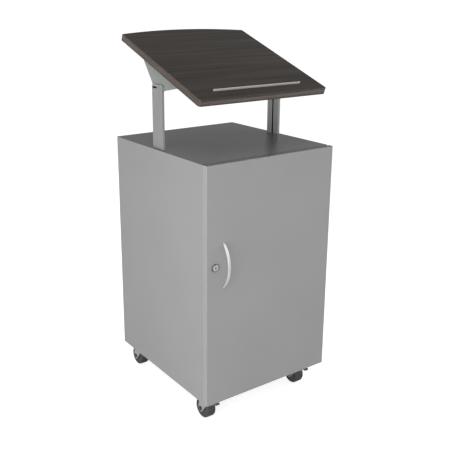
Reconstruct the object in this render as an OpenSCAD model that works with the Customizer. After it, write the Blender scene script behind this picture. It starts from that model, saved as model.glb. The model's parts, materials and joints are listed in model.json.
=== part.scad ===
// Height-adjustable presentation lectern: a laminated cabinet on casters with one lockable door,
// and a tilting reading board carried by two slotted columns that slide up and down in its sides.
// Millimetres. The origin is on the floor, under the middle of the overall box.
// +Z is up, the door faces -Y, and the listeners sit on the +Y side.

/* [Cabinet] */
// Width over the two side panels
cab_w = 457; // [440:1:480]
// Depth from the door's front face to the back panel's back face
cab_d = 500; // [490:1:520]
// Height of the case, without the casters
cab_h = 720; // [700:1:760]
// Thickness of every laminated panel
panel_t = 19; // [18:0.5:20]
// Thickness of the dark laminate on the cabinet top
skin_t = 1; // [0.8:0.1:1.2]
// Gap between the door and the case, filled by the two hinge leaves
door_gap = 2; // [2:0.1:2.4]
// Thickness of the edging on the door
band_t = 1; // [0.8:0.1:1.5]
// Height of the shelf's underside above the cabinet's underside
shelf_h = 330; // [200:1:340]

/* [Columns] */
// Distance from the door's front face to the middle of the columns
column_back = 262; // [255:1:270]
// Distance from the cabinet's side to the column's outer face
column_inset = 8; // [7.5:0.1:8.5]
// Width of a column, front to back
column_w = 54; // [50:1:56]
// Depth of a column, side to side
column_d = 8; // [7.8:0.1:8.2]
// Sheet thickness of a column
column_wall = 1.5; // [1.4:0.1:1.6]
// Width of the slot down a column's inner face
column_slot = 7; // [6.6:0.1:8]
// Length of a column
column_len = 560; // [540:5:600]
// Height of the column's top above the cabinet top
column_rise = 185; // [170:1:200]
// Height of the clamp knobs below the cabinet top
clamp_drop = 118; // [100:1:140]

/* [Reading board] */
// Width of the board
board_w = 453; // [430:1:457]
// Length of the board along its side edges
board_l = 441; // [420:1:450]
// Rise of the curved back edge over its own corners
board_bulge = 22; // [15:1:28]
// Thickness of the board
board_t = 19; // [18:0.5:20]
// Thickness of the edging on the board
board_band = 2; // [1.5:0.5:3]
// Radius of the board's front corners
board_corner = 9; // [6:1:14]
// Tilt of the board from level, in degrees
board_tilt = 20; // [18:0.5:22]
// Distance of the board's front edge behind the door's front face
board_back = 34; // [25:1:45]
// Height of the board's front edge above the cabinet top
board_rise = 168; // [160:1:180]
// Length of the paper stop
stop_l = 310; // [280:1:340]
// Distance of the paper stop from the board's front edge
stop_back = 43; // [35:1:55]
// Height of the paper stop above the board
stop_h = 5.5; // [5:0.5:10]

/* [Door fittings] */
// How far the handle stands out from the door
handle_out = 30; // [28:1:32]
// Height of the handle
handle_h = 138; // [136:1:140]
// Distance of the handle from the door's left edge
handle_in = 56.5; // [54:0.5:60]
// Height of the handle's and the lock's middle above the cabinet's underside
handle_mid = 428; // [420:1:436]
// Distance of the lock from the door's left edge
lock_in = 27.5; // [27.5:0.5:31]

/* [Casters] */
// Height of a caster from the floor to the cabinet
caster_h = 88; // [88:1:90]
// Distance of a caster's kingpin from the cabinet's sides, front and back
caster_in = 50.5; // [50:0.5:56]
// Diameter of a caster wheel
wheel_d = 64; // [62:1:64]
// Width of a caster wheel
wheel_w = 32; // [29:0.5:33]
// Distance from the kingpin back to the wheel's axle
trail = 28; // [26:1:28]

/* [Hidden] */
$fn = 64;
running = 0.05;        // radial clearance of a running fit
eps = 0.01;            // overshoot of a cut beyond a face

// Cabinet places
half_w = cab_w / 2;
inner_x = half_w - panel_t;
door_t = panel_t;
rear_over = trail + wheel_d / 2 - caster_in;   // the rear wheels trail out behind the case
door_y = (handle_out - cab_d - rear_over) / 2;
back_y = door_y + cab_d;
door_rear = door_y + door_t;
case_y = door_rear + door_gap;
base_z = caster_h;
top_z = base_z + cab_h;
carcass_z = top_z - skin_t;
shelf_z = base_z + shelf_h;
shelf_front = case_y + 21;
shelf_gap = 1;
seal_w = 3.5;
seal_in = 0.2;
seal_clear = 0.1;

// Column places, given for the left side; the right side is its mirror image
column_x = -half_w + column_inset;
lip_x = column_x + column_d;
column_y = door_y + column_back;
column_top = top_z + column_rise;
groove_clear = 0.5;
groove_bottom = column_top - column_len - 125;
cap_t = 1.5;
cap_plug = 3;
slot_z = column_top - 7.2;
slot_h = 5;
slot_l = 23;
bolt_d = 6;
nut_t = 4.3;
nut_w = column_w - 2 * column_wall - 1;
nut_h = 16;
nut_x = lip_x - column_wall - 0.2 - nut_t;

// Guide plate that holds a column in its groove
guide_t = 2;
guide_w = 86;
guide_lo = top_z - 340;
guide_hi = top_z - 28;
guide_screw_y = 36;
guide_screw_n = 4;
glide_t = 0.9;
glide_w = 18;
clamp_z = top_z - clamp_drop;

// Board places
board_y = door_y + board_back;
board_z = top_z + board_rise;
pivot_z = column_top - 21;
pivot_s = (column_y - board_y) * cos(board_tilt) + (pivot_z - board_z) * sin(board_tilt);
pivot_n = -(column_y - board_y) * sin(board_tilt) + (pivot_z - board_z) * cos(board_tilt);
bracket_t = 2.5;
bracket_x = lip_x + 1;
bracket_front = 112;
bracket_rear = 342;
bracket_ear = 18;
bracket_flange = 26;
bracket_screws = [24, 115, 206];
stop_t = 2.5;
stop_root = 6;

// Wood screws and cam fittings
screw_d = 3.5;
screw_l = 15;
screw_head_d = 6.4;
cam_d = 15;
cam_deep = 13.5;
cam_in = 34;
cam_bolt_d = 6;
cam_bolt_in = 10;
cam_y = [case_y + 91, case_y + 371];

// Continuous hinge
hinge_r = 3;
hinge_pin_d = 2.5;
hinge_x = half_w - hinge_r;
hinge_y = door_rear + door_gap / 2;
hinge_lo = base_z + 10;
hinge_n = 14;
hinge_pitch = (cab_h - 20) / hinge_n;
hinge_leaf_t = door_gap / 2 - 0.05;
hinge_leaf_w = 17;
hinge_rebate = hinge_r + 1.6;   // room for the edges to swing past each other
hinge_screw_x = half_w - 13;
hinge_screw_n = 7;

// Lock
lock_x = -half_w + lock_in;
lock_z = base_z + handle_mid;
lock_d = 16;
lock_flange_d = 24;
lock_proud = 4;
plug_d = 11;
tang_d = 7;
cam_lock_y = case_y + 2.8;
cam_lock_t = 2.5;
cam_lock_reach = 18;
cam_lock_w = 13;

// Handle: a bow whose outer and inner arcs share one centre
handle_x = -half_w + handle_in;
handle_w = 8.5;
handle_t = 5;
handle_r = (pow(handle_h / 2, 2) + pow(handle_out, 2)) / (2 * handle_out);
handle_c = handle_r - handle_out;
handle_screw_z = 64;
handle_screw_d = 3.5;
handle_screw_in = 2.8;
handle_foot = 3;

// Casters
caster_x = half_w - caster_in;
caster_front = door_y + caster_in;
caster_rear = back_y - caster_in;
plate_w = 60;
plate_t = 2.5;
plate_hole = 22;
crown_z = base_z - 12;
crown_t = 3;
kingpin_d = 10;
fork_in = wheel_w / 2 + 2;
fork_t = 2.5;
fork_end = 11;
axle_d = 6;
axle_z = wheel_d / 2;
pedal_y = -10;
pedal_z = crown_z - 8;
pedal_w = 14;
trunnion_d = 4;

// ---- Shared shapes ----

// A box between two corners
module block(low, high) translate(low) cube(high - low);

// The children and their mirror image on the other side of the lectern
module both_sides() {
    children();
    mirror([1, 0, 0]) children();
}

// The children as drawn for the left side, or mirrored to the right side
module on_side(right) mirror([right ? 1 : 0, 0, 0]) children();

// A rod along +X, +Y or +Z from a point
module rod_x(at, d, l) translate(at) rotate([0, 90, 0]) cylinder(d = d, h = l);
module rod_y(at, d, l) translate(at) rotate([-90, 0, 0]) cylinder(d = d, h = l);
module rod_z(at, d, l) translate(at) cylinder(d = d, h = l);

// A Y-Z outline given thickness along +X
module plate_yz(x, t) translate([x, 0, 0]) rotate([90, 0, 90]) linear_extrude(t) children();

// A flat-head wood screw pointing along +Z, its head's outer face at z = 0
module wood_screw(l = screw_l) {
    difference() {
        cylinder(d = screw_head_d, h = 0.9);
        translate([0, 0, -eps]) cylinder(d = 2.4, h = 0.6, $fn = 4);
    }
    cylinder(d = screw_d, h = l);
}

// The hole that such a screw fills
module screw_hole(l = screw_l) {
    translate([0, 0, -eps]) cylinder(d = screw_head_d, h = 0.9 + eps);
    cylinder(d = screw_d, h = l);
}

// ---- Places that repeat ----

// The guide plate's screws, on the left side, heads facing +X
module at_guide_screws() {
    step = (guide_hi - guide_lo - 40) / (guide_screw_n - 1);
    for (dy = [-guide_screw_y, guide_screw_y])
        for (i = [0:guide_screw_n - 1])
            translate([-inner_x, column_y + dy, guide_lo + 20 + i * step])
                rotate([0, -90, 0]) children();
}

// The hinge leaves' screws; into = 1 faces the case, into = -1 faces the door
module at_hinge_screws(into) {
    step = hinge_pitch * 2;
    for (i = [0:hinge_screw_n - 1])
        translate([hinge_screw_x, hinge_y + into * 0.05, hinge_lo + hinge_pitch + i * step])
            rotate([-90 * into, 0, 0]) children();
}

// The strike plate's two screws
module at_strike_screws() {
    for (dz = [-22, 30])
        translate([-inner_x, case_y + 11, lock_z + dz]) rotate([0, -90, 0]) children();
}

// The shelf pins, on the left side
module at_shelf_pins() {
    for (y = [shelf_front + 40, back_y - panel_t - 50]) translate([-inner_x, y, shelf_z - 2.5]) children();
}

// The cam fittings of the top and bottom panels, on the left side, seen from a panel's inner edge
module at_cams(z) {
    for (y = cam_y) translate([-inner_x + cam_in, y, z]) children();
}

// The four casters' kingpins
module at_caster(front, right) {
    translate([right ? caster_x : -caster_x, front ? caster_front : caster_rear, 0]) children();
}
module at_all_casters() {
    for (front = [true, false]) for (right = [true, false]) at_caster(front, right) children();
}
module at_plate_screws() {
    for (dx = [-plate_hole, plate_hole]) for (dy = [-plate_hole, plate_hole])
        translate([dx, dy, base_z - plate_t - 1.6]) children();
}

// The board's own frame: x across, y up the slope from the front edge, z out of the reading face
module on_board() translate([0, board_y, board_z]) rotate([board_tilt, 0, 0]) children();

// ---- Case ----

// Everything cut out of a side panel that both sides share, drawn for the left side
module side_cuts() {
    block([column_x - groove_clear, column_y - column_w / 2 - groove_clear, groove_bottom],
          [-inner_x + eps, column_y + column_w / 2 + groove_clear, top_z + eps]);
    block([-inner_x - guide_t, column_y - guide_w / 2, guide_lo],
          [-inner_x + eps, column_y + guide_w / 2, guide_hi]);
    at_guide_screws() screw_hole(10.5);
    at_shelf_pins() rod_x([-8, 0, 0], 5, 8 + eps);
    for (z = [base_z + panel_t / 2, carcass_z - panel_t / 2]) for (y = cam_y)
        rod_x([-inner_x - cam_bolt_in, y, z], cam_bolt_d, cam_bolt_in + eps);
}

// The lock's strike plate without its holes, let into the left side panel
module strike_plate() block([-inner_x - 1.5, case_y, lock_z - 30], [-inner_x, case_y + 18, lock_z + 38]);

// Mortise for the lock's cam
module cam_mortise()
    block([lock_x - cam_lock_reach - 1.5, cam_lock_y - 0.8, lock_z - 9],
          [-inner_x + 1, cam_lock_y + cam_lock_t + 0.8, lock_z + 19]);

module side_blank() block([-half_w, case_y, base_z], [-inner_x, back_y, carcass_z]);

module side_panel_left() color("#9b9b9b") difference() {
    side_blank();
    side_cuts();
    strike_plate();
    cam_mortise();
    at_strike_screws() screw_hole(12);
}

module side_panel_right() color("#9b9b9b") difference() {
    mirror([1, 0, 0]) side_blank();
    mirror([1, 0, 0]) side_cuts();
    // Rebate for the hinge's barrel
    block([hinge_x - hinge_rebate, case_y - 1, base_z - 1],
          [half_w + 1, hinge_y + hinge_rebate, top_z + 1]);
    at_hinge_screws(1) screw_hole();
}

// Cam sockets opening at z = 0 upward, and the cross holes of their bolts
module cam_sockets(face_z, mid_z, deep) {
    both_sides() at_cams(face_z) cylinder(d = cam_d, h = deep);
    both_sides() for (y = cam_y) rod_x([-inner_x - eps, y, mid_z], cam_bolt_d, cam_in);
}

module bottom_panel() color("#9b9b9b") difference() {
    block([-inner_x, case_y, base_z], [inner_x, back_y, base_z + panel_t]);
    cam_sockets(base_z - eps, base_z + panel_t / 2, cam_deep + eps);
    at_all_casters() at_plate_screws() cylinder(d = screw_d, h = 16);
}

module top_panel() color("#8f8f8f") difference() {
    block([-inner_x, case_y, carcass_z - panel_t], [inner_x, back_y, carcass_z]);
    cam_sockets(carcass_z - panel_t - eps, carcass_z - panel_t / 2, cam_deep + eps);
}

module top_laminate() color("#606060") difference() {
    block([-half_w, case_y, carcass_z], [half_w, back_y, top_z]);
    both_sides() block([column_x - groove_clear, column_y - column_w / 2 - groove_clear, carcass_z - 1],
                       [lip_x + groove_clear, column_y + column_w / 2 + groove_clear, top_z + 1]);
    block([hinge_x - hinge_rebate, case_y - 1, carcass_z - 1],
          [half_w + 1, hinge_y + hinge_rebate, top_z + 1]);
}

module back_panel() color("#9b9b9b")
    block([-inner_x, back_y - panel_t, base_z + panel_t], [inner_x, back_y, carcass_z - panel_t]);

module shelf() color("#a0a0a0")
    block([-inner_x + shelf_gap, shelf_front, shelf_z],
          [inner_x - shelf_gap, back_y - panel_t - shelf_gap, shelf_z + panel_t]);

module shelf_pins() color("#c8c8c8") both_sides() at_shelf_pins() {
    rod_x([-8, 0, 0], 5, 18);
    rod_x([0, 0, 0], 8, 1);
}

module cam_discs() color("#b4b4b4")
    for (z = [base_z, carcass_z - panel_t]) both_sides() at_cams(z) difference() {
        cylinder(d = cam_d, h = cam_deep);
        rod_x([-cam_d, 0, panel_t / 2], cam_bolt_d, cam_d);
        translate([0, 0, -eps]) cylinder(d = 6, h = 2, $fn = 4);
    }

module cam_bolts() color("#c0c0c0")
    for (z = [base_z + panel_t / 2, carcass_z - panel_t / 2]) both_sides() for (y = cam_y)
        rod_x([-inner_x - cam_bolt_in, y, z], cam_bolt_d, cam_bolt_in + cam_in - 1);

// ---- Column guides and clamps ----

module column_guides() color("#8c8c8c") both_sides() difference() {
    block([-inner_x - guide_t, column_y - guide_w / 2, guide_lo],
          [-inner_x, column_y + guide_w / 2, guide_hi]);
    rod_x([-inner_x - guide_t - 1, column_y, clamp_z], bolt_d + 0.6, guide_t + 2);
    at_guide_screws() screw_hole();
}

// Slippery strips between the columns and the guide plates
module column_glides() color("#e6e6e0") both_sides()
    for (side = [-1, 1])
        block([-inner_x - guide_t - glide_t, column_y + side * 15 - glide_w / 2, guide_lo + 4],
              [-inner_x - guide_t, column_y + side * 15 + glide_w / 2, guide_hi - 4]);

// A flat nut that lies inside the column, too wide to turn there
module channel_nut(z) difference() {
    block([nut_x, column_y - nut_w / 2, z - nut_h / 2],
          [nut_x + nut_t, column_y + nut_w / 2, z + nut_h / 2]);
    rod_x([nut_x - 1, column_y, z], bolt_d + 2 * running, nut_t + 2);
}

module clamp_nuts() color("#b0b0b0") both_sides() channel_nut(clamp_z);

module knob() {
    lobes = 5;
    head_d = 30;
    boss = 6;
    grip = 18;
    front_x = -inner_x + 0.3;
    rod_x([nut_x + 0.4, column_y, clamp_z], bolt_d, front_x - nut_x);
    rod_x([front_x, column_y, clamp_z], 20, boss + 1);
    translate([front_x + boss, column_y, clamp_z]) rotate([0, 90, 0]) linear_extrude(grip) {
        circle(d = head_d);
        for (i = [0:lobes - 1]) rotate(i * 360 / lobes) translate([head_d / 2, 0]) circle(d = 12);
    }
}

module clamp_knob_left() color("#202020") knob();
module clamp_knob_right() color("#202020") mirror([1, 0, 0]) knob();

// ---- Lock strike, hinge leaf, screws and bumpers of the case ----

module lock_strike() color("#b8b8b8") difference() {
    strike_plate();
    cam_mortise();
    at_strike_screws() screw_hole();
}

// One leaf of the hinge with its share of the barrel; into as for the screws
module hinge_leaf(into) {
    y0 = into > 0 ? hinge_y + 0.05 : hinge_y - 0.05 - hinge_leaf_t;
    first = into > 0 ? 0 : 1;
    gap = 0.2;
    difference() {
        union() {
            block([hinge_x - hinge_leaf_w, y0, hinge_lo],
                  [hinge_x - hinge_r - 0.4, y0 + hinge_leaf_t, hinge_lo + hinge_n * hinge_pitch]);
            for (i = [first:2:hinge_n - 1]) {
                z = hinge_lo + i * hinge_pitch;
                rod_z([hinge_x, hinge_y, z + gap], 2 * hinge_r, hinge_pitch - 2 * gap);
                block([hinge_x - hinge_r - 0.5, y0, z + gap],
                      [hinge_x, y0 + hinge_leaf_t, z + hinge_pitch - gap]);
            }
        }
        rod_z([hinge_x, hinge_y, hinge_lo - 1], hinge_pin_d + 2 * running, cab_h);
        at_hinge_screws(into) screw_hole();
    }
}

module hinge_leaf_case() color("#a8a8a8") hinge_leaf(1);
module hinge_leaf_door() color("#a8a8a8") hinge_leaf(-1);
module hinge_pin() color("#8a8a8a") rod_z([hinge_x, hinge_y, hinge_lo], hinge_pin_d, hinge_n * hinge_pitch);

module wood_screws() color("#b8b8b8") {
    both_sides() at_guide_screws() wood_screw(10.5);
    at_hinge_screws(1) wood_screw();
    at_strike_screws() wood_screw(12);
}

module door_bumpers() color("#d8d8d8")
    for (z = [base_z + 52, top_z - 52])
        rod_y([-half_w + panel_t / 2, case_y - door_gap + 0.1, z], 8, door_gap - 0.1);

// A soft strip on the left side panel's front edge, which closes the gap behind the door
module door_seal() color("#a8a8a8")
    block([-half_w + seal_in, door_rear + seal_clear, base_z + 1],
          [-half_w + seal_in + seal_w, case_y, top_z - 1]);

// ---- Door ----

module door_rebate()
    block([hinge_x - hinge_rebate, hinge_y - hinge_rebate, base_z - 1],
          [half_w + 1, door_rear + 1, top_z + 1]);

module door_panel() color("#9b9b9b") difference() {
    block([-half_w + band_t, door_y, base_z + band_t], [half_w - band_t, door_rear, top_z - band_t]);
    door_rebate();
    rod_y([lock_x, door_y - 1, lock_z], lock_d, door_t + 2);
    for (side = [-1, 1]) {
        z = lock_z + side * handle_screw_z;
        rod_y([handle_x, door_y - 1, z], handle_screw_d, door_t + 2);
    }
    at_hinge_screws(-1) screw_hole();
}

module door_edging() color("#b0b0b0") difference() {
    block([-half_w, door_y, base_z], [half_w, door_rear, top_z]);
    block([-half_w + band_t, door_y - 1, base_z + band_t],
          [half_w - band_t, door_rear + 1, top_z - band_t]);
    door_rebate();
}

module door_handle() color("#d6d6d6") difference() {
    union() {
        plate_yz(handle_x - handle_w / 2, handle_w) intersection() {
            translate([door_y + handle_c, lock_z]) difference() {
                circle(r = handle_r, $fn = 128);
                circle(r = handle_r - handle_t, $fn = 128);
            }
            translate([door_y - handle_out - 1, lock_z - handle_h]) square([handle_out + 1, 2 * handle_h]);
        }
        for (side = [-1, 1])
            rod_y([handle_x, door_y - handle_foot, lock_z + side * handle_screw_z], 8, handle_foot);
    }
    for (side = [-1, 1])
        rod_y([handle_x, door_y - handle_screw_in, lock_z + side * handle_screw_z], handle_screw_d,
              handle_screw_in + 1);
}

module handle_screws() color("#b0b0b0") for (side = [-1, 1]) {
    z = lock_z + side * handle_screw_z;
    rod_y([handle_x, door_y - handle_screw_in, z], handle_screw_d, door_t + handle_screw_in);
    difference() {
        rod_y([handle_x, door_rear, z], 8, 2.4);
        rod_y([handle_x, door_rear + 1.2, z], 3.2, 2, $fn = 4);
    }
}

module lock_body() color("#c2c2c2") difference() {
    union() {
        rod_y([lock_x, door_y - lock_proud, lock_z], lock_flange_d, lock_proud);
        rod_y([lock_x, door_y - eps, lock_z], lock_d, cam_lock_y - 0.2 - door_y);
    }
    rod_y([lock_x, door_y - 10, lock_z], plug_d + 2 * running, 60);
}

module lock_nut() color("#9a9a9a") difference() {
    translate([lock_x, door_rear, lock_z]) rotate([-90, 0, 0]) cylinder(d = 22.5, h = 1.6, $fn = 6);
    rod_y([lock_x, door_rear - 1, lock_z], lock_d, 4);
}

module lock_plug() color("#aeaeae") difference() {
    union() {
        rod_y([lock_x, door_y - lock_proud - 0.4, lock_z], plug_d, cam_lock_y - door_y + lock_proud + 0.4);
        rod_y([lock_x, cam_lock_y - eps, lock_z], tang_d, cam_lock_t + 1);
    }
    block([lock_x - 0.8, door_y - lock_proud - 1, lock_z - 3.2],
          [lock_x + 0.8, door_y + 9, lock_z + 3.2]);
}

module lock_cam() color("#b8b8b8") difference() {
    union() {
        rod_y([lock_x, cam_lock_y, lock_z], cam_lock_w, cam_lock_t);
        block([lock_x - cam_lock_w / 2, cam_lock_y, lock_z],
              [lock_x + cam_lock_w / 2, cam_lock_y + cam_lock_t, lock_z + cam_lock_reach]);
    }
    rod_y([lock_x, cam_lock_y - 1, lock_z], tang_d, cam_lock_t + 2);
}

module hinge_screws_door() color("#b8b8b8") at_hinge_screws(-1) wood_screw();

// ---- Columns ----

// A lipped channel with its web outward and its slot inward
module column() difference() {
    z0 = column_top - column_len;
    z1 = column_top - cap_t;
    block([column_x, column_y - column_w / 2, z0], [lip_x, column_y + column_w / 2, z1]);
    block([column_x + column_wall, column_y - column_w / 2 + column_wall, z0 - 1],
          [lip_x - column_wall, column_y + column_w / 2 - column_wall, z1 + 1]);
    block([lip_x - column_wall - 1, column_y - column_slot / 2, z0 - 1],
          [lip_x + 1, column_y + column_slot / 2, z1 + 1]);
    // Slot in the web, for prising the cap out
    block([column_x - 1, column_y + column_w / 2 - 3 - slot_l, slot_z - slot_h / 2],
          [column_x + column_wall + 0.1, column_y + column_w / 2 - 3, slot_z + slot_h / 2]);
}

module column_left() color("#9d9d9d") column();
module column_right() color("#9d9d9d") mirror([1, 0, 0]) column();

// End cap: a lid on the column's end and a plug inside it
module column_caps() color("#b0b0b0") both_sides() {
    inset = column_wall + 0.1;
    block([column_x, column_y - column_w / 2, column_top - cap_t],
          [lip_x, column_y + column_w / 2, column_top]);
    block([column_x + inset, column_y - column_w / 2 + inset, column_top - cap_t - cap_plug],
          [lip_x - inset, column_y + column_w / 2 - inset, column_top - cap_t]);
}

module pivot_nuts() color("#b0b0b0") both_sides() channel_nut(pivot_z);

module pivot_bolts() color("#c0c0c0") both_sides() {
    head_x = bracket_x + bracket_t + 0.1;
    rod_x([nut_x + 0.3, column_y, pivot_z], bolt_d, head_x - nut_x);
    difference() {
        rod_x([head_x, column_y, pivot_z], 13, 4);
        rod_x([head_x + 1.5, column_y, pivot_z], 5, 3, $fn = 6);
    }
}

// ---- Reading board ----

// The point where a line from p touches the circle (c, r), on its left (1) or right (-1) seen from p
function touch(p, c, r, side) =
    let (d = norm(c - p), a = atan2(c[1] - p[1], c[0] - p[0]))
    let (b = asin(r / d) * side, l = sqrt(d * d - r * r))
    [p[0] + l * cos(a + b), p[1] + l * sin(a + b)];

// Bracket outline in the board's frame (along the slope, out of the face)
module bracket_outline() {
    under = -board_t;
    knee = [pivot_s + 37, pivot_n + 2];
    pivot = [pivot_s, pivot_n];
    polygon([[bracket_front, under], [bracket_rear, under], knee, touch(knee, pivot, bracket_ear, 1),
             pivot, [pivot_s - 1, pivot_n + 1]]);
    translate(pivot) circle(r = bracket_ear);
}

module bracket() difference() {
    on_board() {
        plate_yz(bracket_x, bracket_t) bracket_outline();
        block([bracket_x, bracket_front, -board_t - bracket_t],
              [bracket_x + bracket_flange, bracket_rear, -board_t]);
    }
    rod_x([bracket_x - 1, column_y, pivot_z], bolt_d + 2 * running, bracket_t + 2);
    at_bracket_screws() cylinder(d = screw_d, h = screw_l);
}

// The screws that hold a bracket to the board, pointing up into it
module at_bracket_screws() on_board()
    for (s = bracket_screws)
        translate([bracket_x + bracket_flange / 2 + 1, bracket_front + s, -board_t - bracket_t - 0.9])
            children();

module bracket_left() color("#8c908c") bracket();
module bracket_right() color("#8c908c") mirror([1, 0, 0]) bracket();

module friction_washers() color("#e0e0d8") both_sides() difference() {
    rod_x([lip_x + 0.05, column_y, pivot_z], 30, 0.9);
    rod_x([lip_x - 1, column_y, pivot_z], bolt_d + 2 * running, 3);
}

// The board's outline, smaller all round by inset
module board_outline(inset) {
    half = board_w / 2 - inset;
    corner = board_corner - inset;
    arc_r = (pow(board_w / 2, 2) + pow(board_bulge, 2)) / (2 * board_bulge);
    intersection() {
        union() {
            translate([-half, inset + corner]) square([2 * half, board_l + board_bulge]);
            translate([-half + corner, inset]) square([2 * (half - corner), corner + 1]);
            for (side = [-1, 1]) translate([side * (half - corner), inset + corner]) circle(r = corner);
        }
        translate([0, board_l + board_bulge - arc_r]) circle(r = arc_r - inset, $fn = 256);
    }
}

module board_panel() color("#3e3c39") difference() {
    on_board() difference() {
        translate([0, 0, -board_t]) linear_extrude(board_t) board_outline(board_band);
        block([-stop_l / 2, stop_back, -stop_root], [stop_l / 2, stop_back + stop_t, 1]);
    }
    both_sides() at_bracket_screws() cylinder(d = screw_d, h = screw_l);
}

module board_edging() color("#655e5a") on_board()
    translate([0, 0, -board_t]) linear_extrude(board_t) difference() {
        board_outline(0);
        board_outline(board_band);
    }

module paper_stop() color("#a5a09b") on_board()
    block([-stop_l / 2, stop_back, -stop_root], [stop_l / 2, stop_back + stop_t, stop_h]);

module board_screws() color("#b8b8b8") both_sides() at_bracket_screws() {
    difference() {
        cylinder(d = 7.5, h = 0.9);
        translate([0, 0, -eps]) cylinder(d = 2.6, h = 0.6, $fn = 4);
    }
    cylinder(d = screw_d, h = screw_l - 0.5);
}

// ---- Casters ----

module caster_plates() color("#b4b4b4") at_all_casters() difference() {
    block([-plate_w / 2, -plate_w / 2, base_z - plate_t], [plate_w / 2, plate_w / 2, base_z]);
    at_plate_screws() cylinder(d = screw_d, h = 8);
}

module caster_kingpins() color("#a0a0a0") at_all_casters() {
    rod_z([0, 0, crown_z - 1], kingpin_d, base_z - plate_t - crown_z + 1);
    rod_z([0, 0, crown_z - 3.4], 15, 3.2);
}

module caster_screws() color("#b8b8b8") at_all_casters() at_plate_screws() {
    difference() {
        cylinder(d = 7.5, h = 1.6);
        translate([0, 0, -eps]) cylinder(d = 3, h = 0.9, $fn = 4);
    }
    cylinder(d = screw_d, h = 15);
}

// One leg of the fork: wide under the crown, round about the axle
module leg_outline() {
    axle = [trail, axle_z];
    front = [-20, crown_z + crown_t];
    rear = [31, crown_z + crown_t];
    polygon([front, touch(front, axle, fork_end, -1), axle, touch(rear, axle, fork_end, 1), rear]);
    translate(axle) circle(r = fork_end);
}

module fork(braked) difference() {
    union() {
        for (x = [-fork_in - fork_t, fork_in]) plate_yz(x, fork_t) leg_outline();
        block([-fork_in - fork_t, -20, crown_z], [fork_in + fork_t, 31, crown_z + crown_t]);
        rod_z([0, 0, crown_z + crown_t - eps], 44, base_z - plate_t - crown_z - crown_t - 0.2);
    }
    rod_z([0, 0, crown_z - 1], kingpin_d + 2 * running, 30);
    rod_x([-40, trail, axle_z], axle_d, 80);
    if (braked) rod_x([-40, pedal_y, pedal_z], trunnion_d + 2 * running, 80);
}

// Axle bolt with its head on the left and its nut on the right
module axle() {
    reach = fork_in + fork_t;
    rod_x([-reach, trail, axle_z], axle_d, 2 * reach + 5);
    rod_x([-reach - 1, trail, axle_z], 15, 1);
    translate([-reach - 4, trail, axle_z]) rotate([0, 90, 0]) cylinder(d = 11, h = 3.5, $fn = 6);
    difference() {
        union() {
            rod_x([reach, trail, axle_z], 15, 1);
            translate([reach + 0.5, trail, axle_z]) rotate([0, 90, 0]) cylinder(d = 11, h = 3.5, $fn = 6);
        }
        rod_x([reach - 1, trail, axle_z], axle_d + 2 * running, 6);
    }
}

module wheel() translate([0, trail, axle_z]) rotate([0, 90, 0]) rotate_extrude($fn = 96) {
    r = wheel_d / 2;
    shoulder = 6.5;
    bore = axle_d / 2 + running;
    half = wheel_w / 2;
    dish = 3;
    translate([bore, -half]) square([9 - bore, wheel_w]);
    translate([8, -half + dish]) square([13, wheel_w - 2 * dish]);
    translate([20, -half]) square([r - shoulder - 20, wheel_w]);
    translate([20, -half + shoulder]) square([r - 20, wheel_w - 2 * shoulder]);
    for (side = [-1, 1]) translate([r - shoulder, side * (half - shoulder)]) circle(r = shoulder);
}

// Brake pedal: a tread in front of the fork, trunnions in its legs and a shoe above the tyre
module pedal() {
    plate_yz(-pedal_w / 2, pedal_w)
        polygon([[-35, 67], [-34.5, 70.5], [-30, 71.5], [-6, 71.5], [-3, 66], [-0.5, 53],
                 [-2, 49.2], [-6, 50.5], [-9, 62], [-14, 66], [-31, 66]]);
    rod_x([-fork_in - fork_t, pedal_y, pedal_z], trunnion_d, 2 * (fork_in + fork_t));
}

module fork_front_left() color("#a6a6a6") at_caster(true, false) fork(true);
module fork_front_right() color("#a6a6a6") at_caster(true, true) fork(true);
module fork_rear_left() color("#a6a6a6") at_caster(false, false) fork(false);
module fork_rear_right() color("#a6a6a6") at_caster(false, true) fork(false);
module axle_front_left() color("#b8b8b8") at_caster(true, false) axle();
module axle_front_right() color("#b8b8b8") at_caster(true, true) axle();
module axle_rear_left() color("#b8b8b8") at_caster(false, false) axle();
module axle_rear_right() color("#b8b8b8") at_caster(false, true) axle();
module wheel_front_left() color("#4a4a4a") at_caster(true, false) wheel();
module wheel_front_right() color("#4a4a4a") at_caster(true, true) wheel();
module wheel_rear_left() color("#4a4a4a") at_caster(false, false) wheel();
module wheel_rear_right() color("#4a4a4a") at_caster(false, true) wheel();
module brake_pedal_left() color("#555555") at_caster(true, false) pedal();
module brake_pedal_right() color("#555555") at_caster(true, true) pedal();

side_panel_left();
side_panel_right();
bottom_panel();
top_panel();
top_laminate();
back_panel();
shelf();
shelf_pins();
cam_discs();
cam_bolts();
column_guides();
column_glides();
clamp_nuts();
lock_strike();
hinge_leaf_case();
hinge_pin();
wood_screws();
door_bumpers();
caster_plates();
caster_kingpins();
caster_screws();
door_seal();
door_panel();
door_edging();
door_handle();
handle_screws();
lock_body();
lock_nut();
hinge_leaf_door();
hinge_screws_door();
lock_plug();
lock_cam();
clamp_knob_left();
clamp_knob_right();
column_left();
column_right();
column_caps();
pivot_nuts();
pivot_bolts();
bracket_left();
bracket_right();
friction_washers();
board_panel();
board_edging();
paper_stop();
board_screws();
fork_front_left();
fork_front_right();
fork_rear_left();
fork_rear_right();
axle_front_left();
axle_front_right();
axle_rear_left();
axle_rear_right();
wheel_front_left();
wheel_front_right();
wheel_rear_left();
wheel_rear_right();
brake_pedal_left();
brake_pedal_right();
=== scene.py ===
"""Looks of the presentation lectern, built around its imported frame. Metres; +Z is up, the door faces -Y."""
import json
import math

import bmesh
import bpy
from mathutils import Matrix, Vector


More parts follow.
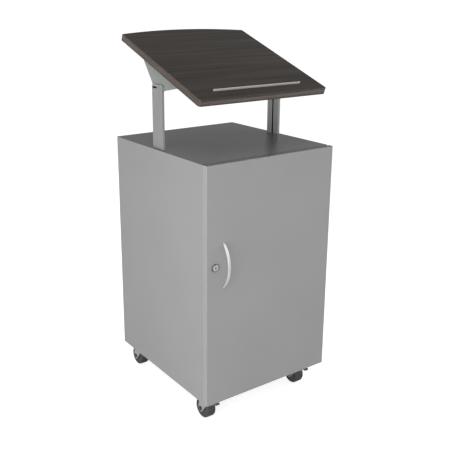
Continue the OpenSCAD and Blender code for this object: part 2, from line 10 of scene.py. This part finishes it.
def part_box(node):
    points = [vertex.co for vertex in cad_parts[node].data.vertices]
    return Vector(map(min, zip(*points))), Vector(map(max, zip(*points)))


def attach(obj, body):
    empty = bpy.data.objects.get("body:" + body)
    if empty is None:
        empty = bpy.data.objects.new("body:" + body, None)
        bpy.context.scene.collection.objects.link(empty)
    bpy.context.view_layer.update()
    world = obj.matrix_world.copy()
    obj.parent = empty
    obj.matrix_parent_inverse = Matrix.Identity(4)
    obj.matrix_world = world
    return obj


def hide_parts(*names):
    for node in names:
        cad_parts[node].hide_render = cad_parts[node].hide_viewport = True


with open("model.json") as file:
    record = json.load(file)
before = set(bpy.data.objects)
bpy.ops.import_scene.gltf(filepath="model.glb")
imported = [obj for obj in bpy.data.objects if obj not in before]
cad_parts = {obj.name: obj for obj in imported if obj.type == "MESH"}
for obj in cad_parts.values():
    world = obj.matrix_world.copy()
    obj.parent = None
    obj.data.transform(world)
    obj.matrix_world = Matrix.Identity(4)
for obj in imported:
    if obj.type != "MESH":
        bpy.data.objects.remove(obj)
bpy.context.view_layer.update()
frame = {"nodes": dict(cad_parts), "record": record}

MM = 0.001
NODES = frame["nodes"]
CASTERS = ("front_left", "front_right", "rear_left", "rear_right")
BOARD_TILT = math.radians(20)
JOINTS = {joint["name"]: joint for joint in frame["record"]["behaviour"]["joints"]}


def joint_at(name):
    """The point that a joint turns about."""
    return Vector(JOINTS[name]["pos_m"])


# ---- Meshes ----

def new_piece(name, bm, body, material, replaced=()):
    """Turns a bmesh into a piece that rides on a body."""
    bmesh.ops.remove_doubles(bm, verts=bm.verts, dist=1e-7)
    bmesh.ops.recalc_face_normals(bm, faces=bm.faces)
    mesh = bpy.data.meshes.new(name)
    bm.to_mesh(mesh)
    bm.free()
    piece = bpy.data.objects.new(name, mesh)
    bpy.context.scene.collection.objects.link(piece)
    mesh.materials.append(material)
    mesh.shade_smooth()
    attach(piece, body)
    if replaced:
        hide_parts(*replaced)


def loft(bm, rings, closed=False):
    """Skins a list of rings of points; open lofts get flat end caps."""
    made = [[bm.verts.new(p) for p in ring] for ring in rings]
    pairs = list(zip(made, made[1:])) + ([(made[-1], made[0])] if closed else [])
    for a, b in pairs:
        for i in range(len(a)):
            j = (i + 1) % len(a)
            bm.faces.new((a[i], a[j], b[j], b[i]))
    if not closed:
        bm.faces.new(made[0][::-1])
        bm.faces.new(made[-1])


def turn(bm, profile, place, steps=64):
    """Turns a closed (radius, height) profile about the Z axis of the matrix place."""
    rings = []
    for i in range(steps):
        a = 2 * math.pi * i / steps
        rings.append([place @ Vector((r * math.cos(a), r * math.sin(a), h)) for r, h in profile])
    loft(bm, rings, closed=True)


def axis_place(origin, axis):
    """A matrix whose Z runs along an axis from an origin."""
    return Matrix.Translation(origin) @ Vector(axis).to_track_quat("Z", "Y").to_matrix().to_4x4()


def rounded(points, radius, steps, skip=()):
    """A closed outline with every corner rounded off, apart from those listed in skip."""
    made = []
    n = len(points)
    for i, p in enumerate(points):
        p = Vector(p)
        if i in skip:
            made.append(tuple(p))
            continue
        before, after = Vector(points[i - 1]) - p, Vector(points[(i + 1) % n]) - p
        reach = min(radius, before.length * 0.49, after.length * 0.49)
        a, b = p + before.normalized() * reach, p + after.normalized() * reach
        for k in range(steps + 1):
            t = k / steps
            made.append(tuple(a * (1 - t) ** 2 + p * 2 * t * (1 - t) + b * t ** 2))
    return made


def soften(node, width, segments=3):
    """Rounds a CAD node's edges with modifiers; the mesh itself stays as it is."""
    piece = NODES[node]
    weld = piece.modifiers.new("weld", "WELD")
    weld.merge_threshold = 1e-6
    bevel = piece.modifiers.new("bevel", "BEVEL")
    bevel.width = width
    bevel.segments = segments
    bevel.limit_method = "ANGLE"
    bevel.angle_limit = math.radians(30)
    bevel.use_clamp_overlap = True
    weighted = piece.modifiers.new("normals", "WEIGHTED_NORMAL")
    weighted.keep_sharp = False


def dress(material, *nodes):
    """Gives CAD nodes a material in place of their packed one."""
    for node in nodes:
        mesh = NODES[node].data
        mesh.materials.clear()
        mesh.materials.append(material)


# ---- Materials ----

def grey(level):
    """The linear value of a 0 to 255 screen grey."""
    c = level / 255
    return c / 12.92 if c <= 0.04045 else ((c + 0.055) / 1.055) ** 2.4


def tone(r, g, b):
    """The linear colour of three screen levels."""
    return (grey(r), grey(g), grey(b), 1.0)


def scaled(colour, factor):
    """A colour made darker or lighter by a factor."""
    return tuple(min(1, c * factor) for c in colour[:3]) + (1,)


class Finish:
    """A Principled material, built up from textures in object space."""

    def __init__(self, name, roughness=0.5, **sockets):
        self.material = bpy.data.materials.new(name)
        self.material.use_nodes = True
        self.tree = self.material.node_tree
        self.shader = self.tree.nodes["Principled BSDF"]
        self.shader.inputs["Roughness"].default_value = roughness
        for key, value in sockets.items():
            self.shader.inputs[key.replace("_", " ")].default_value = value
        self.space = self.node("ShaderNodeTexCoord")
        self.at = self.space.outputs["Object"]

    def node(self, kind, inputs=(), **settings):
        made = self.tree.nodes.new(kind)
        for key, value in settings.items():
            setattr(made, key, value)
        for key, value in dict(inputs).items():
            if isinstance(value, bpy.types.NodeSocket):
                self.tree.links.new(value, made.inputs[key])
            else:
                made.inputs[key].default_value = value
        return made

    def math(self, operation, a, b=0.0, c=0.0):
        return self.node("ShaderNodeMath", {0: a, 1: b, 2: c}, operation=operation).outputs[0]

    def turned(self, tilt):
        """Object coordinates turned about X, so that a tilted part has its own flat axes."""
        return self.node("ShaderNodeMapping", {"Vector": self.at, "Rotation": (-tilt, 0, 0)}).outputs[0]

    def part(self, vector, axis):
        return self.node("ShaderNodeSeparateXYZ", {0: vector}).outputs[axis]

    def noise(self, scale, detail, rough=0.5, stretch=(1, 1, 1), at=None):
        stretched = self.node("ShaderNodeMapping", {"Vector": at or self.at, "Scale": stretch}).outputs[0]
        made = self.node("ShaderNodeTexNoise", {"Vector": stretched, "Scale": scale, "Detail": detail,
                                                "Roughness": rough})
        return made.outputs["Fac"]

    def spread(self, value, low, high, start=0.3, end=0.7):
        """A value's range from start to end, spread from low to high."""
        made = self.node("ShaderNodeMapRange", {"Value": value, "From Min": start, "From Max": end,
                                                "To Min": low, "To Max": high})
        return made.outputs["Result"]

    def blend(self, factor, a, b):
        """Two colours mixed by a factor from a texture."""
        made = self.node("ShaderNodeMix", data_type="RGBA")
        for socket, value in ((made.inputs[0], factor), (made.inputs[6], a), (made.inputs[7], b)):
            if isinstance(value, bpy.types.NodeSocket):
                self.tree.links.new(value, socket)
            else:
                socket.default_value = value
        return made.outputs[2]

    def set(self, socket, value):
        self.tree.links.new(value, self.shader.inputs[socket])

    def repaint(self, where, colour):
        """Lays another colour over the base colour, where a mask is 1."""
        under = self.shader.inputs["Base Color"].links[0].from_socket
        self.set("Base Color", self.blend(where, under, colour))

    def bump(self, height, depth, strength):
        made = self.node("ShaderNodeBump", {"Height": height, "Distance": depth, "Strength": strength})
        self.set("Normal", made.outputs[0])


def mottled(name, base, vary, grain, depth, rough):
    """A plain moulded or painted surface: faint clouds of tone, a fine grain, uneven gloss."""
    f = Finish(name)
    clouds = f.spread(f.noise(14, 3), 0, 1)
    f.set("Base Color", f.blend(clouds, scaled(base, 1 - vary), scaled(base, 1 + vary)))
    fine = f.noise(grain, 2)
    f.set("Roughness", f.spread(fine, *rough))
    f.bump(fine, depth, 0.6)
    return f


def laminate(name, base, rough=(0.2, 0.27), **sockets):
    """Melamine-faced board: even colour, a fine pebbled skin and a faint long-wave unevenness."""
    f = Finish(name, **sockets)
    specks = f.spread(f.noise(1400, 2), 0, 1, 0.42, 0.62)
    clouds = f.spread(f.noise(5, 2), 0, 1)
    shade = f.math("MULTIPLY_ADD", clouds, 0.6, f.math("MULTIPLY", specks, 0.4))
    f.set("Base Color", f.blend(shade, scaled(base, 0.965), scaled(base, 1.035)))
    pebble = f.noise(700, 3)
    f.set("Roughness", f.spread(pebble, *rough))
    f.bump(f.math("MULTIPLY_ADD", f.noise(9, 1), 6.0, pebble), 0.000012, 0.5)
    return f


def along_edges(f, at):
    """Coordinates with X and Y swapped on the faces that look sideways, so that grain follows each edge."""
    sideways = f.math("GREATER_THAN", f.math("ABSOLUTE", f.part(f.space.outputs["Normal"], "X")), 0.7)
    x, y, z = (f.part(at, axis) for axis in "XYZ")
    swapped = f.node("ShaderNodeCombineXYZ", {0: y, 1: x, 2: z}).outputs[0]
    pick = f.node("ShaderNodeMix", data_type="VECTOR")
    for socket, value in ((0, sideways), (4, at), (5, swapped)):
        f.tree.links.new(value, pick.inputs[socket])
    return pick.outputs[1]


def woodgrain(name, dark, light, warm, gloss=(0.36, 0.5), round_edges=False, **sockets):
    """A dark wood-grain print: long thin streaks along X, or along each edge, pores, and warm patches."""
    f = Finish(name, **sockets)
    at = f.turned(BOARD_TILT)
    if round_edges:
        at = along_edges(f, at)
    ripple = f.math("MULTIPLY", f.noise(3, 1, at=at), 0.02)
    shift = f.node("ShaderNodeCombineXYZ", {"Y": ripple}).outputs[0]
    bent = f.node("ShaderNodeVectorMath", {0: at, 1: shift}, operation="ADD").outputs[0]
    streaks = f.noise(1, 4, 0.62, (3, 230, 230), bent)
    bands = f.noise(1, 3, 0.6, (1.2, 75, 75), bent)
    pores = f.spread(f.noise(1, 2, 0.5, (26, 900, 900), bent), 0, 1, 0.6, 0.72)
    grain = f.math("MULTIPLY_ADD", streaks, 0.4, f.math("MULTIPLY", bands, 0.6))
    wood = f.blend(f.spread(grain, 0, 1, 0.4, 0.6), dark, light)
    wood = f.blend(f.spread(f.noise(2.2, 2, at=at), 0, 0.55, 0.45, 0.7), wood, warm)
    f.set("Base Color", f.blend(f.math("MULTIPLY", pores, 0.5), wood, scaled(dark, 0.6)))
    f.set("Roughness", f.spread(streaks, *gloss))
    f.bump(f.math("SUBTRACT", streaks, f.math("MULTIPLY", pores, 0.8)), 0.00003, 0.5)
    return f


grey_laminate = laminate("grey_laminate", tone(152, 152, 152))
dark_laminate = laminate("dark_laminate", tone(84, 84, 84), (0.26, 0.34), Specular_IOR_Level=0.3)


def door_edging_with_painted_shade(top_z):
    """Light edging on the door's sides and foot, and painted shade, darker than the top laminate, along the
    faces that look up at its top.
    """
    edging, upward = 1.1 * MM, 0.35
    f = mottled("grey_edging", tone(158, 158, 158), 0.02, 500, 0.00001, (0.3, 0.38))
    on_top = f.math("GREATER_THAN", f.part(f.at, "Z"), top_z - edging)
    facing_up = f.math("GREATER_THAN", f.part(f.space.outputs["Normal"], "Z"), upward)
    # painted shade: a dark grey band along the top of the door's edging
    f.repaint(f.math("MULTIPLY", on_top, facing_up), tone(73, 73, 73))
    return f


grey_edging = door_edging_with_painted_shade(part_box("door_edging")[1].z)


def metal(name, base, rough, vary, stretch=(1, 1, 1), metallic=1.0):
    """Plated or satin metal: brushed streaks along the axis that stretch leaves long."""
    f = Finish(name, Metallic=metallic)
    clouds = f.spread(f.noise(30, 3), 0, 1)
    f.set("Base Color", f.blend(clouds, scaled(base, 1 - vary), scaled(base, 1 + vary)))
    brushed = f.noise(600, 2, stretch=stretch)
    f.set("Roughness", f.spread(brushed, *rough))
    f.bump(brushed, 0.000006, 0.4)
    return f


axle_steel = metal("axle_steel", tone(120, 121, 123), (0.34, 0.46), 0.1)
# painted shade: the near-black shutter stands in for the shade deep in the keyway
shutter_painted_shade = metal("shutter_painted_shade", tone(22, 22, 22), (0.5, 0.6), 0.08, metallic=0.3)
# painted reflection: the bezel's metal is kept dark for the dark ring of reflection and shade round the lock
bezel_painted_reflection = metal("bezel_painted_reflection", tone(120, 120, 120), (0.24, 0.34), 0.05)
zinc_steel = metal("zinc_steel", tone(196, 198, 200), (0.28, 0.42), 0.08)
fork_steel = metal("fork_steel", tone(205, 206, 208), (0.28, 0.4), 0.07, metallic=0.7)
satin_metal = metal("satin_metal", tone(218, 218, 218), (0.34, 0.44), 0.02, (1, 1, 0.04), 0.5)
lock_chrome = metal("lock_chrome", tone(212, 212, 212), (0.22, 0.3), 0.03, metallic=0.7)
guide_steel = metal("guide_steel", tone(158, 158, 158), (0.32, 0.42), 0.03, (1, 1, 0.03), 0.45)
bracket_paint = mottled("bracket_paint", tone(140, 145, 141), 0.04, 900, 0.00002, (0.36, 0.46))
stop_metal = mottled("stop_metal", tone(192, 186, 180), 0.03, 900, 0.00001, (0.34, 0.44))
wheel_rubber = mottled("wheel_rubber", tone(69, 69, 69), 0.12, 500, 0.00006, (0.5, 0.68))
hub_plastic = mottled("hub_plastic", tone(84, 84, 85), 0.06, 700, 0.00002, (0.4, 0.5))
black_plastic = mottled("black_plastic", tone(44, 44, 44), 0.12, 900, 0.00004, (0.42, 0.56))
pedal_plastic = mottled("pedal_plastic", tone(116, 116, 116), 0.08, 800, 0.00003, (0.4, 0.52))
nylon = mottled("nylon", tone(222, 222, 214), 0.03, 600, 0.00002, (0.4, 0.5))
seal_rubber = mottled("seal_rubber", tone(168, 168, 168), 0.02, 600, 0.00001, (0.4, 0.5))
clear_rubber = mottled("clear_rubber", tone(205, 205, 205), 0.03, 400, 0.00002, (0.3, 0.4))
dark_wood = woodgrain("dark_wood", tone(29, 25, 22), tone(61, 55, 50), tone(50, 41, 37),
                      Specular_IOR_Level=0.18)
wood_edging = woodgrain("wood_edging", tone(50, 42, 38), tone(98, 89, 83), tone(80, 67, 62),
                        gloss=(0.22, 0.32), round_edges=True)


def column_with_painted_shade():
    """Painted outside, with painted shade inside: the hollow behind the slot down a column is coloured near
    black for the shade in it.
    """
    f = metal("column_paint", tone(165, 165, 165), (0.32, 0.42), 0.03, (1, 1, 0.03), 0.45)
    low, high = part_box("column_left")
    skin = 1 * MM
    half = (high.x - low.x) / 2 - skin, (high.y - low.y) / 2 - skin
    centre = abs(low.x + high.x) / 2, (low.y + high.y) / 2
    across = f.math("ABSOLUTE", f.math("SUBTRACT", f.math("ABSOLUTE", f.part(f.at, "X")), centre[0]))
    along = f.math("ABSOLUTE", f.math("SUBTRACT", f.part(f.at, "Y"), centre[1]))
    inside = f.math("MULTIPLY", f.math("LESS_THAN", across, half[0]), f.math("LESS_THAN", along, half[1]))
    # painted shade: near black inside the column's hollow, where the slot shows it
    f.repaint(inside, tone(14, 14, 14))
    return f


column_paint = column_with_painted_shade()


def cap_with_painted_shade(lid_z):
    """Light lid and the plug below it, moulded as one part; the plug, which sits in the column's hollow, is
    painted near black as shade.
    """
    f = mottled("cap_plastic", tone(166, 166, 166), 0.03, 700, 0.00002, (0.36, 0.46))
    # painted shade: near black on the plug below the lid, inside the column
    f.repaint(f.math("LESS_THAN", f.part(f.at, "Z"), lid_z), tone(20, 20, 20))
    return f


cap_plastic = cap_with_painted_shade(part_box("column_left")[1].z - 0.1 * MM)

dress(grey_laminate.material, "side_panel_left", "side_panel_right", "bottom_panel", "top_panel",
      "back_panel", "shelf", "door_panel")
dress(dark_laminate.material, "top_laminate")
dress(grey_edging.material, "door_edging")
dress(zinc_steel.material, "shelf_pins", "cam_discs", "cam_bolts", "clamp_nuts", "lock_strike",
      "hinge_leaf_case", "hinge_leaf_door", "hinge_pin", "wood_screws", "caster_plates", "caster_kingpins",
      "caster_screws", "handle_screws", "hinge_screws_door", "lock_nut", "lock_cam", "pivot_nuts",
      "pivot_bolts", "board_screws")
dress(axle_steel.material, *["axle_" + c for c in CASTERS])
dress(fork_steel.material, *["fork_" + c for c in CASTERS])
dress(pedal_plastic.material, "brake_pedal_left", "brake_pedal_right")
dress(nylon.material, "column_glides", "friction_washers")
dress(clear_rubber.material, "door_bumpers")
dress(seal_rubber.material, "door_seal")
dress(column_paint.material, "column_left", "column_right")
dress(guide_steel.material, "column_guides")
dress(cap_plastic.material, "column_caps")
dress(bracket_paint.material, "bracket_left", "bracket_right")
dress(dark_wood.material, "board_panel")
dress(wood_edging.material, "board_edging")
dress(stop_metal.material, "paper_stop")

for node in ("side_panel_left", "side_panel_right", "back_panel", "bottom_panel", "shelf"):
    soften(node, 0.5 * MM, 2)
soften("top_laminate", 0.3 * MM, 2)
soften("door_edging", 0.9 * MM, 4)
soften("door_seal", 0.5 * MM)
soften("board_edging", 1.9 * MM, 4)
soften("paper_stop", 0.6 * MM)
soften("column_caps", 0.4 * MM)
for side in ("left", "right"):
    soften("column_" + side, 0.5 * MM)
    soften("bracket_" + side, 0.5 * MM)
    soften("brake_pedal_" + side, 1.2 * MM)
for caster in CASTERS:
    soften("fork_" + caster, 0.5 * MM)
    soften("axle_" + caster, 0.5 * MM)


# ---- Door handle ----

def make_handle():
    """A bow whose section is a soft rectangle, full in the middle and slimmer at its feet."""
    low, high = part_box("door_handle")
    door_y, reach = high.y, high.y - low.y
    half_h = (high.z - low.z) / 2
    centre_z, x = (low.z + high.z) / 2, (low.x + high.x) / 2
    outer = (half_h ** 2 + reach ** 2) / (2 * reach)
    centre_y = door_y + outer - reach
    thick, wide = 4.6 * MM, high.x - low.x
    thinner, slimmer = 0.28, 0.3  # the shares of each that are lost towards the feet
    foot = math.asin(half_h / outer)
    rings = []
    steps = 48
    for i in range(steps + 1):
        t = 2 * i / steps - 1
        angle = t * foot
        outward = Vector((0, -math.cos(angle), math.sin(angle)))
        along = Vector((0, math.sin(angle), math.cos(angle)))
        h = thick * (1 - thinner * t * t) / 2
        w = wide * (1 - slimmer * t * t) / 2
        core = Vector((x, centre_y, centre_z)) + outward * (outer - h)
        outline = rounded([(-w, -h), (w, -h), (w, h), (-w, h)], 0.8 * h, 4)
        ring = [core + Vector((1, 0, 0)) * a + outward * b for a, b in outline]
        if i in (0, steps):
            ring = [p + along * ((door_y - p.y) / along.y) for p in ring]
        rings.append(ring)
    bm = bmesh.new()
    loft(bm, [r for r in rings if max(p.y for p in r) <= door_y + 1e-6])
    new_piece("door_bow_handle", bm, "door", satin_metal.material, ["door_handle"])


make_handle()


# ---- Lock ----

def make_lock():
    """A bright cylinder with a rolled face, in a bezel that lies on the door, its metal kept dark as painted
    reflection and shade round the lock.
    """
    low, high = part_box("lock_body")
    door_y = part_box("door_panel")[0].y
    place = axis_place(((low.x + high.x) / 2, door_y, (low.z + high.z) / 2), (0, -1, 0))
    radius, proud, deep = (high.x - low.x) / 2, door_y - low.y, high.y - door_y
    bore, barrel, face = 5.55 * MM, 8 * MM, 9.2 * MM
    gap, chamfer, lift = 0.05 * MM, 0.6 * MM, 0.1 * MM
    bm = bmesh.new()
    turn(bm, rounded([(bore, -deep), (barrel, -deep), (barrel, lift), (face, lift), (face, proud),
                      (bore + chamfer, proud), (bore, proud - chamfer)], 0.35 * MM, 3), place)
    new_piece("lock_cylinder", bm, "door", lock_chrome.material, ["lock_body"])
    top = proud - 0.3 * MM
    bm = bmesh.new()
    turn(bm, rounded([(face + gap, 0), (radius, 0), (radius, 0.5 * MM), (radius - 1.2 * MM, top),
                      (face + gap, top)], 0.3 * MM, 3), place)
    new_piece("lock_bezel", bm, "door", bezel_painted_reflection.material)


def make_plug():
    """The part of the lock that turns: a polished plug with a keyway, and a near-black shutter inside it that
    is painted shade deep in the keyway.
    """
    low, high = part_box("lock_plug")
    place = axis_place(((low.x + high.x) / 2, low.y, (low.z + high.z) / 2), (0, -1, 0))
    radius, long = (high.x - low.x) / 2, high.y - low.y
    tang, shoulder = 3.5 * MM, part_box("lock_cam")[0].y - low.y
    keyway = (1.9 * MM, 4.2 * MM)
    keyway_floor, shutter_face = -3.4 * MM, -1.7 * MM

    def ring(half_u, half_v, height, power=1.0):
        """An ellipse, or at a lower power a rectangle with soft corners."""
        points, steps = [], 48
        for i in range(steps):
            c, s = (f(2 * math.pi * i / steps) for f in (math.cos, math.sin))
            points.append(place @ Vector((half_u * math.copysign(abs(c) ** power, c),
                                          half_v * math.copysign(abs(s) ** power, s), height)))
        return points

    def slot(grow, height):
        """The keyway's outline, larger all round by grow."""
        return ring(*[half + grow for half in keyway], height, 0.4)

    bm = bmesh.new()
    rounds = [(tang - 0.4 * MM, -long), (tang, 0.4 * MM - long), (tang, -shoulder), (radius, -shoulder),
              (radius, -0.7 * MM), (radius - 0.15 * MM, -0.3 * MM), (radius - 0.6 * MM, 0),
              (radius - 0.7 * MM, 0)]
    slots = [(0.25 * MM, 0), (0.15 * MM, 0), (0, -0.15 * MM), (0, -0.25 * MM), (0, keyway_floor)]
    loft(bm, [ring(r, r, h) for r, h in rounds] + [slot(*step) for step in slots])
    new_piece("lock_keyed_plug", bm, "lock_core", lock_chrome.material, ["lock_plug"])
    bm = bmesh.new()
    loft(bm, [slot(-0.02 * MM, keyway_floor + 0.02 * MM), slot(-0.02 * MM, shutter_face - 0.2 * MM),
              slot(-0.3 * MM, shutter_face)])
    new_piece("lock_shutter_shade", bm, "lock_core", shutter_painted_shade.material)


make_lock()
make_plug()


# ---- Clamp knobs ----

def star(radius, depth, height, place):
    """A ring of points whose radius swings by depth, once for each lobe."""
    ring, lobes, steps = [], 5, 80
    for i in range(steps):
        a = 2 * math.pi * i / steps
        r = radius + depth * math.cos(lobes * a)
        ring.append(place @ Vector((r * math.cos(a), r * math.sin(a), height)))
    return ring


def make_knob(side):
    """A moulded five-lobed grip on a boss, with a steel stud."""
    low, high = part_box("clamp_knob_" + side)
    inward = 1 if side == "left" else -1
    tip = high.x if side == "left" else low.x
    place = axis_place((tip, *joint_at("clamp_turn_" + side).yz), (inward, 0, 0))
    length = high.x - low.x
    grip, boss = 18 * MM, 24 * MM
    bm = bmesh.new()
    outline = ((11, 0.5, -18), (15.4, 2.6, -17.6), (16.8, 3.2, -16.4), (17.4, 3.5, -14), (17.4, 3.5, -4),
               (16.8, 3.2, -1.8), (15.2, 2.6, -0.5), (13.2, 1.8, 0), (11.2, 0.8, 0), (9.6, 0, -0.8),
               (9, 0, -2), (7.6, 0, -2.4))  # radius, depth of the lobes and height, in mm
    loft(bm, [star(r * MM, d * MM, h * MM, place) for r, d, h in outline])
    core, boss_top = 2 * MM, 1 * MM - grip
    turn(bm, rounded([(core, -boss), (10 * MM, -boss), (9 * MM, boss_top), (core, boss_top)],
                     0.8 * MM, 4, skip=(0, 3)), place, 48)
    new_piece("clamp_star_" + side, bm, "clamp_" + side, black_plastic.material,
              ["clamp_knob_" + side])
    stud, chamfer, centre = 3 * MM, 0.6 * MM, 0.01 * MM
    bm = bmesh.new()
    turn(bm, [(centre, -length), (stud - chamfer, -length), (stud, chamfer - length), (stud, -grip),
              (centre, -grip)], place, 32)
    new_piece("clamp_stud_" + side, bm, "clamp_" + side, zinc_steel.material)


for side in ("left", "right"):
    make_knob(side)


# ---- Casters ----

def tyre_profile(radius, half, bead, shoulder):
    """A tyre's (radius, width) section: round shoulders, a low crown and beads that tuck in to the hub."""
    side, steps = [], 12
    for i in range(steps + 1):
        a = math.radians(105 - 100 * i / steps)
        side.append((radius - shoulder + shoulder * math.cos(a), half - shoulder + shoulder * math.sin(a)))
    outer = [(bead, half - 2.4 * MM), (bead + 0.4 * MM, half - 1.2 * MM)] + side
    return outer + [(r, -h) for r, h in reversed(outer)]


def hub_profile(bore, rim, half):
    """A moulded hub's section: a long boss, a recessed web and a rim that carries the tyre."""
    boss, web, lip = 8.6 * MM, half - 3.8 * MM, half - 1.4 * MM
    outer = rounded([(bore, half), (boss, half), (boss + 1 * MM, web), (17.4 * MM, web), (18 * MM, lip),
                     (rim, lip - 0.4 * MM)], 0.5 * MM, 3, skip=(0, 5))
    return outer + [(r, -h) for r, h in reversed(outer)]


def make_wheel(caster):
    """A rubber tyre on a moulded hub that has ribs on both faces."""
    low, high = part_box("wheel_" + caster)
    half, radius = (high.x - low.x) / 2, (high.z - low.z) / 2
    place = axis_place((low + high) / 2, (1, 0, 0))
    tread, shoulder, bore = 11.4 * MM, 6 * MM, 3.1 * MM
    rim = radius - tread
    bm = bmesh.new()
    turn(bm, tyre_profile(radius, half, rim - 0.1 * MM, shoulder), place, 96)
    new_piece("tyre_" + caster, bm, "roller_" + caster, wheel_rubber.material,
              ["wheel_" + caster])
    bm = bmesh.new()
    turn(bm, hub_profile(bore, rim, half), place, 72)
    ribs, taper = 6, 0.7
    rib_ends = ((8.9 * MM, 1.5 * MM), (17.8 * MM, 1.1 * MM))  # the radius and half width of a rib's ends
    for face in (-1, 1):
        root, top = face * (half - 4.2 * MM), face * (half - 2.2 * MM)
        for i in range(ribs):
            at = place @ Matrix.Rotation(2 * math.pi * (i + 0.5) / ribs, 4, "Z")
            loft(bm, [[at @ Vector((r, v, h)) for v, h in ((-w, root), (w, root), (w * taper, top),
                                                           (-w * taper, top))] for r, w in rib_ends])
    new_piece("hub_" + caster, bm, "roller_" + caster, hub_plastic.material)


def make_race_cup(caster):
    """The pressed cup under a mounting plate that shrouds the swivel's bearing."""
    kingpin = joint_at("swivel_turn_" + caster)
    place = axis_place((kingpin.x, kingpin.y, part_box("caster_plates")[0].z), (0, 0, 1))
    inner, outer, deep = 22.5 * MM, 26.5 * MM, 4.4 * MM
    bm = bmesh.new()
    turn(bm, rounded([(inner, 0), (outer, 0), (outer - 0.9 * MM, -1.6 * MM), (outer - 1.7 * MM, -deep),
                      (inner, -deep)], 0.6 * MM, 4, skip=(0,)), place, 72)
    new_piece("race_cup_" + caster, bm, "cabinet", zinc_steel.material)


def make_tread(side):
    """Grip ribs across the tread of a brake pedal."""
    low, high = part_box("brake_pedal_" + side)
    x, half, ribs = (low.x + high.x) / 2, 5.4 * MM, 5
    root, top = high.z - 0.3 * MM, high.z + 0.7 * MM
    bm = bmesh.new()
    for i in range(ribs):
        y = low.y + (6 + 3.4 * i) * MM
        section = rounded([(y - 0.8 * MM, root), (y + 0.8 * MM, root), (y + 0.5 * MM, top),
                           (y - 0.5 * MM, top)], 0.3 * MM, 3)
        loft(bm, [[(x + dx, a, b) for a, b in section] for dx in (-half, half)])
    new_piece("brake_tread_" + side, bm, "brake_" + side, pedal_plastic.material)


for caster in CASTERS:
    make_wheel(caster)
    make_race_cup(caster)
for side in ("left", "right"):
    make_tread(side)


# ---- Stage ----

AZIMUTH, ELEVATION, DISTANCE = -34.9, 16.43, 2.181
TARGET = Vector((-0.0581, 0, 0.6224))
LENS, SHIFT_X, SHIFT_Y = 56.3, 0.038, -0.05
MIDDLE = Vector((0, 0, 0.6))


def aim(thing, target, azimuth, elevation, distance):
    """Places a camera or a light by its side and height in degrees, and points it at the target."""
    a, e = math.radians(azimuth), math.radians(elevation)
    back = Vector((math.sin(a) * math.cos(e), -math.cos(a) * math.cos(e), math.sin(e)))
    thing.location = target + back * distance
    thing.rotation_mode = "QUATERNION"
    thing.rotation_quaternion = (-back).to_track_quat("-Z", "Y")
    bpy.context.scene.collection.objects.link(thing)


def make_camera():
    """The camera, to the left of the door and looking slightly down."""
    data = bpy.data.cameras.new("camera")
    data.lens, data.shift_x, data.shift_y = LENS, SHIFT_X, SHIFT_Y
    camera = bpy.data.objects.new("camera", data)
    aim(camera, TARGET, AZIMUTH, ELEVATION, DISTANCE)
    bpy.context.scene.camera = camera


def camera_else(tree, seen, other):
    """A strength with one value as the camera sees it and another as light on the object."""
    path = tree.nodes.new("ShaderNodeLightPath")
    pick = tree.nodes.new("ShaderNodeMix")
    tree.links.new(path.outputs["Is Camera Ray"], pick.inputs[0])
    pick.inputs[2].default_value = other
    pick.inputs[3].default_value = seen
    return pick.outputs[0]


def make_floor():
    """A plain pale floor that glows towards the camera, so that the shadow on it stays faint."""
    half = 30.0
    bm = bmesh.new()
    bm.faces.new([bm.verts.new((x, y, 0)) for x, y in ((-half, -half), (half, -half), (half, half),
                                                       (-half, half))])
    mesh = bpy.data.meshes.new("floor")
    bm.to_mesh(mesh)
    bm.free()
    floor = bpy.data.objects.new("floor", mesh)
    bpy.context.scene.collection.objects.link(floor)
    f = Finish("pale_floor", 0.9, Emission_Color=(1, 1, 1, 1))
    f.set("Base Color", f.blend(f.noise(3, 2), (0.5, 0.5, 0.5, 1), (0.52, 0.52, 0.52, 1)))
    f.set("Emission Strength", camera_else(f.tree, seen=0.82, other=0.05))
    mesh.materials.append(f.material)


def make_light(name, azimuth, elevation, distance, size, power):
    """A soft square light on the object's middle, which the camera doesn't see."""
    data = bpy.data.lights.new(name, "AREA")
    data.size, data.energy = size, power
    light = bpy.data.objects.new(name, data)
    aim(light, MIDDLE, azimuth, elevation, distance)
    light.visible_camera = False


def make_world():
    """An even white room, brighter to the camera than as light."""
    world = bpy.data.worlds.new("studio")
    world.use_nodes = True
    tree = world.node_tree
    backdrop = tree.nodes["Background"]
    backdrop.inputs["Color"].default_value = (1, 1, 1, 1)
    tree.links.new(camera_else(tree, seen=1.0, other=0.42), backdrop.inputs["Strength"])
    bpy.context.scene.world = world


make_camera()
make_floor()
make_world()
make_light("key", -60, 5, 2.4, 1.6, 38)
make_light("fill", 60, 20, 2.8, 1.8, 30)
make_light("overhead", -45, 60, 3.2, 2.0, 34)
make_light("rear", 183, 2, 3.0, 1.5, 18)
bpy.context.scene.view_settings.view_transform = "Standard"
